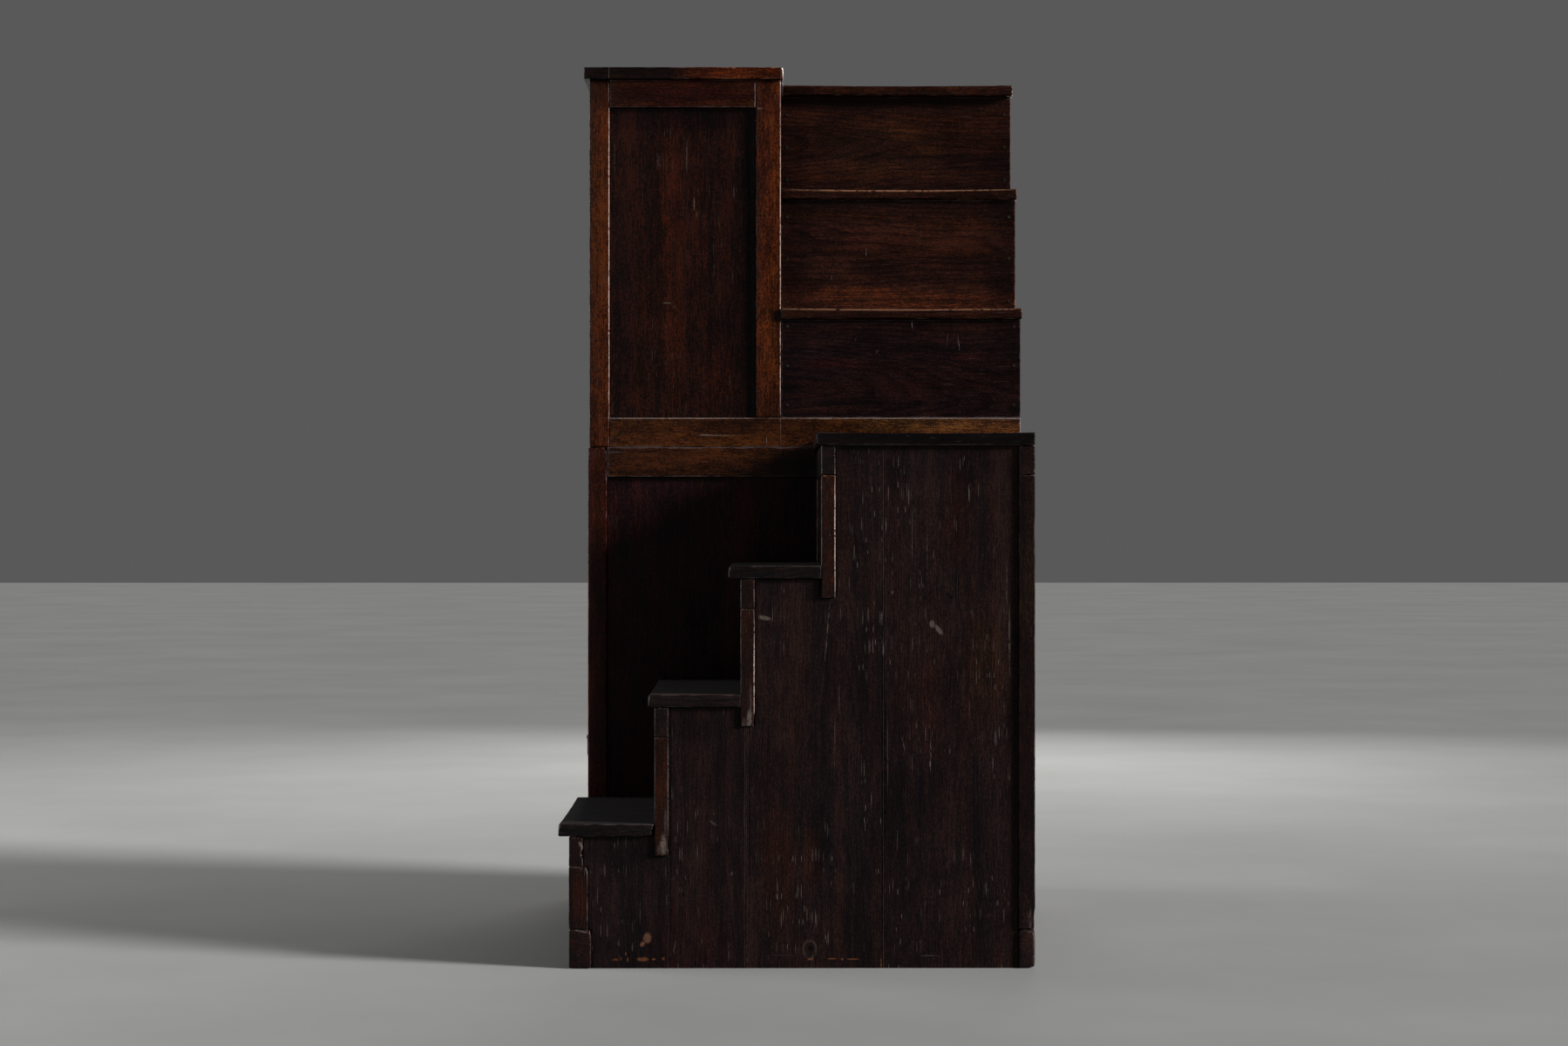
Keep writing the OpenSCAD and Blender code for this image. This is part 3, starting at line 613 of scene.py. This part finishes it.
def make_camera():
    """Level, at the photograph's place, turned a third of a degree to the right."""
    camera = bpy.data.cameras.new("camera")
    camera.lens = 70
    camera.sensor_width = 36
    holder = bpy.data.objects.new("camera", camera)
    holder.location = CAMERA_PLACE
    holder.rotation_euler = [math.radians(angle) for angle in CAMERA_TURN]
    bpy.context.scene.collection.objects.link(holder)
    bpy.context.scene.camera = holder


# ---- marks on the near side ----

LIT_EDGE = (134, 116, 108, 1.3, False)
LIT_TREAD = (118, 82, 62, 0.8, False)
PALE = (92, 80, 74, 0.65, False)
DULL = (56, 48, 46, 0.75, False)
FAINT = (44, 34, 31, 0.6, False)
BLACK = (6, 2, 3, 0.9, False)
RAW_WOOD = (112, 66, 40, 0.62, False)
RAW_CHIP = (104, 72, 54, 0.65, False)
KNOT_RING = (66, 52, 46, 0.4, True)
GRAIN_LINE = (20, 8, 6, 0.6, True)

BOARD_1_MARKS = [
    (RAW_CHIP, [(163, 63, 22, 18, 0), (153, 50, 12, 10, 30)]),
    (RAW_WOOD, [(153, 19, 9, 24, 0), (97, 18, 5, 10, 0), (122, 18, 10, 3, 0), (176, 19, 4, 8, 0),
                (196, 20, 6, 5, 0), (118, 30, 8, 3, 0), (108, 20, 8, 3, 0)]),
    (DULL, [(104, 52, 14, 5, 0), (132, 44, 20, 4, 0), (60, 150, 40, 3, 0), (148, 118, 46, 2, 0)]),
    (BLACK, [(204, 420, 840, 4, 0)]),
]
BOARD_2_MARKS = [
    (DULL, [(263, 318, 22, 3, 0), (268, 322, 14, 2, 0), (225, 201, 24, 3, 0), (219, 42, 30, 3, 8),
            (331, 35, 46, 2, 0), (300, 300, 6, 22, 35), (338, 196, 10, 5, 20)]),
    (BLACK, [(331, 246, 12, 5, 20), (240, 106, 60, 2, 0), (210, 420, 840, 3, 0), (236, 152, 8, 6, 0)]),
]
BOARD_3_MARKS = [
    (PALE, [(535, 693, 128, 2, 5), (404, 725, 9, 30, 10), (532, 65, 38, 2, -10), (537, 62, 30, 2, 0)]),
    (DULL, [(551, 489, 104, 2, 0), (410, 132, 24, 2, 0), (418, 134, 16, 2, 0), (367, 700, 330, 3, 0),
            (367, 330, 380, 3, 0), (560, 560, 60, 2, 0)]),
    (FAINT, [(512, 96, 70, 3, 12), (490, 84, 36, 2, -10), (442, 27, 3, 60, 0), (414, 22, 22, 3, 0)]),
    (KNOT_RING, [(499, 40, 42, 32, 0)]),
    (RAW_WOOD, [(500, 19, 5, 12, 0), (545, 20, 3, 20, 0), (588, 19, 3, 26, 0), (646, 20, 14, 3, 0),
                (646, 6, 10, 4, 0), (566, 19, 5, 5, 0)]),
    (BLACK, [(648, 420, 900, 5, 0), (499, 40, 16, 12, 0), (520, 118, 44, 2, 0), (373, 330, 500, 3, 0)]),
]
BOARD_4_MARKS = [
    (PALE, [(704, 976, 38, 2, 0), (670, 778, 8, 4, 15), (752, 712, 16, 12, 0), (766, 700, 10, 26, 55),
            (749, 452, 44, 2, 0), (749, 420, 26, 2, 0), (912, 690, 120, 4, 0)]),
    (DULL, [(711, 900, 110, 2, 0), (742, 856, 116, 2, 0), (693, 463, 40, 2, -14), (711, 421, 46, 2, 0),
            (680, 264, 46, 2, 0), (907, 795, 110, 3, 0), (748, 26, 3, 40, 0), (660, 440, 150, 2, 0)]),
    (BLACK, [(785, 769, 9, 20, 25), (654, 420, 360, 5, 0), (767, 70, 130, 2, 3),
             (833, 60, 112, 2, -2), (925, 560, 900, 3, 0)]),
]
POST_MARKS = [
    (LIT_EDGE, [(551, 893, 256, 3, 0), (384, 610, 210, 3, 0), (385, 520, 60, 4, 4),
                (553, 1052, 80, 2, 0)]),
    (PALE, [(29, 246, 30, 7, 20), (26, 256, 8, 16, 60), (196, 256, 46, 14, 0), (374, 516, 44, 12, 5),
            (24, 78, 4, 34, 14)]),
    (DULL, [(201, 300, 60, 6, 0), (377, 560, 60, 5, 0), (206, 400, 200, 3, 0),
            (187, 246, 20, 8, 0), (363, 508, 22, 8, 0), (930, 520, 130, 2, 0),
            # The strokes along the end post's right edge, from x 955 on, are painted highlights.
            (931, 380, 140, 2, 0), (955, 100, 50, 6, 0),
            (968, 330, 180, 3, 0), (969, 560, 90, 3, 0), (962, 40, 60, 5, 0)]),
    (BLACK, [(34, 205, 60, 2, 0), (542, 905, 40, 2, 0)]),
]
RAIL_MARKS = [
    (LIT_EDGE, [(52, 1530, 790, 3, 0), (441, 1530, 760, 3, 0), (220, 1159, 2, 340, 0),
                (714, 1159, 2, 560, 0)]),
    (PALE, [(298, 1120, 3, 96, 0), (270, 1121, 4, 34, 0), (410, 1108, 22, 2, 0), (392, 1862, 4, 18, 0)]),
    (DULL, [(60, 1082, 5, 44, 0), (240, 1170, 2, 60, 0)]),
]
PANEL_MARKS = [
    (PALE, [(245, 1646, 30, 3, 0), (183, 1421, 3, 20, 0)]),
    (DULL, [(64, 1752, 70, 2, 0), (250, 1620, 26, 2, 0), (201, 1412, 12, 2, 0), (228, 1754, 80, 4, 0),
            (290, 1500, 40, 2, 0)]),
]
RISER_MARKS = [
    (LIT_TREAD, [(720, 1406, 7, 560, 0), (700, 1691, 8, 440, 0), (880, 1692, 5, 200, 0)]),
    (GRAIN_LINE, [(740, 1424, 34, 520, 0), (790, 1426, 18, 280, 0), (640, 1418, 12, 220, 0),
                  (860, 1424, 12, 130, 0)]),
    (PALE, [(640, 1548, 20, 2, 0), (560, 1490, 12, 2, 0), (660, 1310, 8, 4, 40), (740, 1372, 26, 2, 0)]),
    (DULL, [(820, 1338, 30, 2, 10), (846, 1330, 40, 2, -6), (612, 1340, 10, 3, 30), (560, 1700, 12, 2, 0),
            (500, 1698, 2, 70, 0)]),
]


# ---- the chest's pieces ----

def hollow_by(front, depth, sag=0.0):
    """A shape step for treads: front is the axis that the nose looks along."""
    def shape(solid, index, low, high):
        tread_hollow(solid, low, high, front, depth * MM)
        if sag:
            bow(solid, low, high, sag * MM)
    return shape


def finish_lower_flight():
    """The posts, rails, side boards, treads and landing nearest the camera."""
    tones = {1: (0.8, 0.85, 0.95), 2: (0.95, 0.97, 1.0), 3: (1, 1, 1), 4: (1, 1, 1)}
    marks = {1: BOARD_1_MARKS, 2: BOARD_2_MARKS, 3: BOARD_3_MARKS, 4: BOARD_4_MARKS}
    # Patches on the side boards: the dark bands at z 240, 490, 800 and 1050, just under each tread and the
    # landing, are painted shadows; the others are stains.
    stains_and_shadows = [(433, 215, 60, 240, (1.7, 1.2, 0.9)), (501, 237, 26, 120, (1.9, 1.3, 0.9)),
              (800, 930, 60, 190, (1.6, 1.15, 0.9)), (862, 610, 90, 260, (1.4, 1.2, 0.85)),
              (735, 560, 40, 220, (1.4, 1.05, 0.95)), (560, 900, 60, 300, (1.2, 1.15, 1.0)),
              (790, 1050, 320, 90, (0.7, 0.72, 0.8)), (480, 800, 240, 60, (0.75, 0.75, 0.85)),
              (270, 490, 160, 60, (0.75, 0.75, 0.85)), (110, 240, 180, 60, (0.7, 0.72, 0.8)),
              (560, 300, 150, 300, (0.8, 0.88, 1.0)), (860, 250, 130, 420, (0.82, 0.88, 0.95)),
              (700, 330, 110, 260, (0.75, 0.8, 0.95)), (250, 60, 180, 160, (1.15, 0.95, 0.95))]
    side = {k: wood(f"side_wood_{k}", (13, 8, 9), (23, 14, 14), (41, 26, 22), (58, 49, 46),
                    tint=(1.1, 0.96, 0.9), contrast=0.8, rings=0.25, pits=1.6 if k > 2 else 0.8,
                    pit_colour=(88, 78, 74), wear=0.25, wear_width=1.3, gloss=0.46, specular=0.07,
                    marks=marks[k])
            for k in marks}
    for k in side:
        finish_boards(f"side_board_{k}", side[k], grain=2, radius=0.8, wear=0.6,
                      warp=0.6, step=14, tones=[tones[k]], patches=stains_and_shadows)

    post = wood("post_wood", (10, 5, 5), (21, 10, 8), (46, 23, 13), (92, 76, 68), contrast=0.8, rings=0.35,
                ring_width=2.6, pits=0.4, wear=0.4, wear_width=1.8, gloss=0.36, specular=0.14,
                marks=POST_MARKS)
    finish_boards("stair_posts", post, grain=2, radius=1.8, wear=0.9, crown=0.5, step=7,
                  tones=[(0.92, 0.88, 0.95)] * 8 + [(0.88, 0.92, 1.12)] * 2,
                  patches=[(538, 930, 50, 260, (2.6, 1.7, 0.9)), (358, 700, 40, 140, (1.5, 1.1, 0.7)),
                           (190, 400, 40, 160, (1.3, 1.1, 0.8)), (16, 150, 40, 90, (1.5, 1.1, 0.9)),
                           (950, 820, 50, 220, (1.1, 1.25, 0.9))],
                  chips=[(206, -1, 258, 16, 3), (387, -1, 500, 22, 4), (382, -1, 520, 14, 3),
                         (37, -1, 215, 16, 6), (965, -1, 100, 26, 5), (568, -1, 1010, 8, 2)])
    finish_boards("step_rails", post, grain=1, radius=1.8, wear=1.0, crown=0.5, step=9,
                  tones=[(0.7, 0.75, 0.9)] * 3 + [(0.5, 0.6, 0.8), (0.62, 0.78, 1.0)],
                  chips=[(30, -1, 262, 10, 4), (30, -1, 240, 12, 5)])
    finish_boards("base_rails", post, grain=1, radius=2.6, wear=1.4, crown=0.8, step=9,
                  tones=[(0.85, 0.9, 1.1), (1.25, 1.5, 1.9)],
                  chips=[(46, -1, 80, 12, 5), (964, -1, 80, 20, 7), (932, -1, 82, 12, 4),
                         (965, -1, 2, 14, 5)])

    tread = wood("tread_wood", (9, 6, 7), (18, 11, 12), (36, 23, 20), (62, 52, 49), contrast=0.8, rings=0.5,
                 ring_width=3.2, pits=0.4, wear=0.8, wear_width=2.2, gloss=0.38, specular=0.12)
    tread_chips = [(-22, -3, 300, 16, 4), (164, -3, 567, 14, 4), (330, -3, 833, 12, 3),
                   (174, -3, 276, 24, 9), (512, -3, 1082, 10, 3)]
    for node in ("tread_1", "tread_2", "tread_3"):
        finish_boards(node, tread, grain=0, radius=2.2, wear=1.2, crown=0.7, step=9,
                      chips=tread_chips, shape=hollow_by(0, 3.0), tones=[(0.9, 0.95, 1.0)])
    finish_boards("landing", tread, grain=0, radius=1.8, wear=1.3, crown=0.5, step=10,
                  chips=tread_chips, shape=hollow_by(0, 1.5, sag=2.5), tones=[(0.36, 0.36, 0.42)])
    finish_boards("step_risers", side[2], grain=1, step=20)
    finish_boards("end_boards", side[2], grain=2, step=20, warp=0.6)
    finish_boards("step_drawer_front", tread, grain=1, radius=1.6, crown=0.4, step=14)


def finish_tall_case():
    """The frames, panels and top board, and the upper flight beside them."""
    warm = wood("frame_wood", (24, 7, 3), (44, 16, 5), (78, 34, 11), (112, 88, 78), tint=(1.05, 1.15, 0.8),
                contrast=0.95, rings=0.35, ring_width=3.0, pits=0.35, pit_colour=(30, 12, 8), wear=0.5,
                wear_width=2.2, gloss=0.34, specular=0.1, marks=RAIL_MARKS)
    panel = wood("panel_wood", (10, 4, 4), (21, 9, 7), (44, 18, 11), (50, 36, 28), tint=(1.1, 1.0, 0.8),
                 contrast=1.0, rings=0.2, pits=0.4, wear=0.2, gloss=0.4, specular=0.06, marks=PANEL_MARKS)
    red = wood("stair_red_wood", (14, 6, 5), (29, 13, 10), (58, 28, 17), (112, 86, 72),
               tint=(1.12, 1.02, 0.75), contrast=0.7, rings=0.5, ring_width=7.0, wander=0.08,
               pits=0.4, wear=0.5, wear_width=2.2, gloss=0.38, specular=0.08, marks=RISER_MARKS)
    finish_boards("lower_posts", warm, grain=2, radius=2.0, wear=0.6, crown=0.8, step=9,
                  tones=[(0.82, 0.66, 0.95)], patches=[(28, 380, 90, 900, (1.2, 1.05, 1.6))],
                  chips=[(3, 619, 1092, 22, 6), (47, 619, 1092, 10, 3)])
    finish_boards("upper_posts", warm, grain=2, radius=2.0, wear=0.45, crown=1.0, step=9,
                  # The dark patches at the tops of the stiles, at z 1905 and 1870, are painted shade under
                  # the top board.
                  patches=[(30, 1905, 90, 80, (0.4, 0.42, 0.6)), (413, 1870, 60, 60, (0.7, 0.7, 0.9)),
                           (413, 1190, 60, 120, (0.7, 0.7, 0.9)), (413, 1530, 90, 700, (1.4, 1.3, 1.3))])
    # The near-black patch on the lower rails around z 1060, at the landing's height, is painted shade where
    # the landing shades them.
    finish_boards("lower_rails", warm, radius=0.9, wear=0.4, crown=0.4, step=14,
                  tones=[(0.66, 0.85, 1.1)], patches=[(700, 1060, 560, 120, (0.12, 0.14, 0.2))])
    finish_boards("upper_rails", warm, radius=0.9, wear=0.4, crown=0.4, step=12,
                  tones=[(0.9, 1.15, 1.35)],
                  # The dark patch along the top rail at z 1896 is painted shade under the top board.
                  patches=[(215, 1896, 360, 90, (0.75, 0.42, 0.6)), (830, 1146, 400, 44, (2.4, 3.2, 3.6)),
                           (560, 1110, 200, 40, (0.8, 0.8, 0.9))])
    finish_boards("top_board", warm, grain=0, radius=2.0, wear=0.8, crown=0.6, step=10,
                  tones=[(0.7, 0.75, 0.85)],
                  patches=[(90, 1941, 300, 200, (0.3, 0.45, 0.85)), (335, 1941, 260, 70, (2.5, 2.0, 1.5))],
                  chips=[(447, 609, 1955, 16, 4)])
    finish_boards("divider", warm, grain=2, step=30)
    finish_boards("lower_side_panels", panel, grain=2, step=20, warp=0.6,
                  tones=[(1.15, 1.05, 1.7)], patches=[(120, 400, 240, 700, (0.75, 0.7, 0.95))])
    # On the upper side panels, the band under the top rail at z 1840 and the narrow strip beside the right
    # stile at x 376 are painted shadows.
    finish_boards("upper_side_panels", panel, grain=2, step=14, warp=0.6,
                  patches=[(183, 1500, 70, 600, (1.6, 1.3, 1.05)), (255, 1600, 40, 420, (1.25, 1.1, 1.0)),
                           (330, 1500, 50, 500, (0.7, 0.72, 0.85)), (215, 1840, 340, 60, (0.55, 0.55, 0.7)),
                           (300, 1260, 70, 160, (1.4, 1.1, 1.0)), (90, 1400, 60, 500, (0.8, 0.85, 1.0)),
                           (376, 1510, 40, 1100, (0.4, 0.4, 0.5))])
    dark_ends = [(455, 1560, 110, 760, (0.6, 0.62, 0.75)), (975, 1560, 110, 760, (0.6, 0.62, 0.75))]
    finish_boards("high_riser_1", red, grain=0, radius=0.8, wear=0.5, warp=0.6, step=14,
                  tones=[(0.54, 0.62, 0.98)], patches=dark_ends + [(880, 1302, 150, 16, (1.6, 1.0, 1.1)),
                                                                   (560, 1288, 110, 14, (1.5, 1.0, 1.0))])
    finish_boards("high_riser_2", red, grain=0, radius=0.8, wear=0.5, warp=0.6, step=12,
                  # The bright patch at z 1426, low on this riser just above the tread below, is painted light
                  # bounced up from that tread.
                  patches=dark_ends + [(730, 1426, 760, 84, (3.4, 2.9, 2.2)),
                                       (720, 1560, 340, 90, (1.15, 1.05, 1.0))])
    finish_boards("high_riser_3", red, grain=0, radius=0.8, wear=0.5, warp=0.6, step=14,
                  patches=dark_ends + [(690, 1800, 320, 130, (1.35, 1.45, 1.2)),
                                       # The dark band at z 1915, at the top of this riser under the top
                                       # tread's nose, is a painted shadow.
                                       (730, 1915, 560, 30, (0.55, 0.55, 0.6))])
    for node, hollow in (("high_tread_1", 2.4), ("high_tread_2", 3.2), ("top_tread", 2.0)):
        finish_boards(node, red, grain=0, radius=2.2, wear=1.5, crown=0.5, step=9,
                      shape=hollow_by(1, hollow), tones=[(1.1, 1.05, 1.0)])
    finish_boards("high_casing", panel, grain=2, step=20, warp=0.6)
    finish_boards("lower_back_boards", panel, grain=2, step=30, warp=0.6)


def finish_left_face():
    """Doors and drawer fronts, with a finger hollow in each door's outer stile."""
    warm = bpy.data.materials["frame_wood"]
    for box in ("lower", "upper"):
        for side, stile in (("near", 0), ("far", 3)):
            def pull(solid, index, low, high, stile=stile):
                if index == stile:
                    scoop(solid, (low + high) / 2, *FINGER_HOLLOW)
            finish_boards(f"{box}_door_{side}", warm, radius=1.6, wear=0.9, crown=0.6,
                          step=16, shape=pull)
    for node in ("drawer_1_front", "drawer_2_front"):
        finish_boards(node, warm, grain=1, radius=1.8, crown=0.5, step=14)


def finish_inside():
    """Plain wood for what only shows when something is open."""
    plain = wood("plain_wood", (104, 78, 52), (142, 108, 74), (170, 136, 98), (178, 150, 116),
                 tint=(1.06, 0.98, 0.9), contrast=0.8, rings=0.3, ring_width=4.0, pits=0.1, wear=0.3,
                 gloss=0.6, specular=0.3)
    for node in ("far_side_boards", "stair_floor", "lower_boards", "drawer_runners", "upper_boards"):
        finish_boards(node, plain, wear=0)
    for drawer in ("step_drawer", "drawer_1", "drawer_2"):
        for part in ("sides", "back", "bottom"):
            finish_boards(f"{drawer}_{part}", plain, wear=0, step=40)


def finish_iron():
    """Eyes, handles and nails keep their shapes and become iron."""
    iron = forged_iron()
    for node, thing in frame["nodes"].items():
        if node.endswith("_eyes") or "_bail" in node or node == "riser_nails":
            thing.data.materials.clear()
            thing.data.materials.append(iron)


make_camera()
make_floor()
make_light()
finish_lower_flight()
finish_tall_case()
finish_left_face()
finish_inside()
finish_iron()
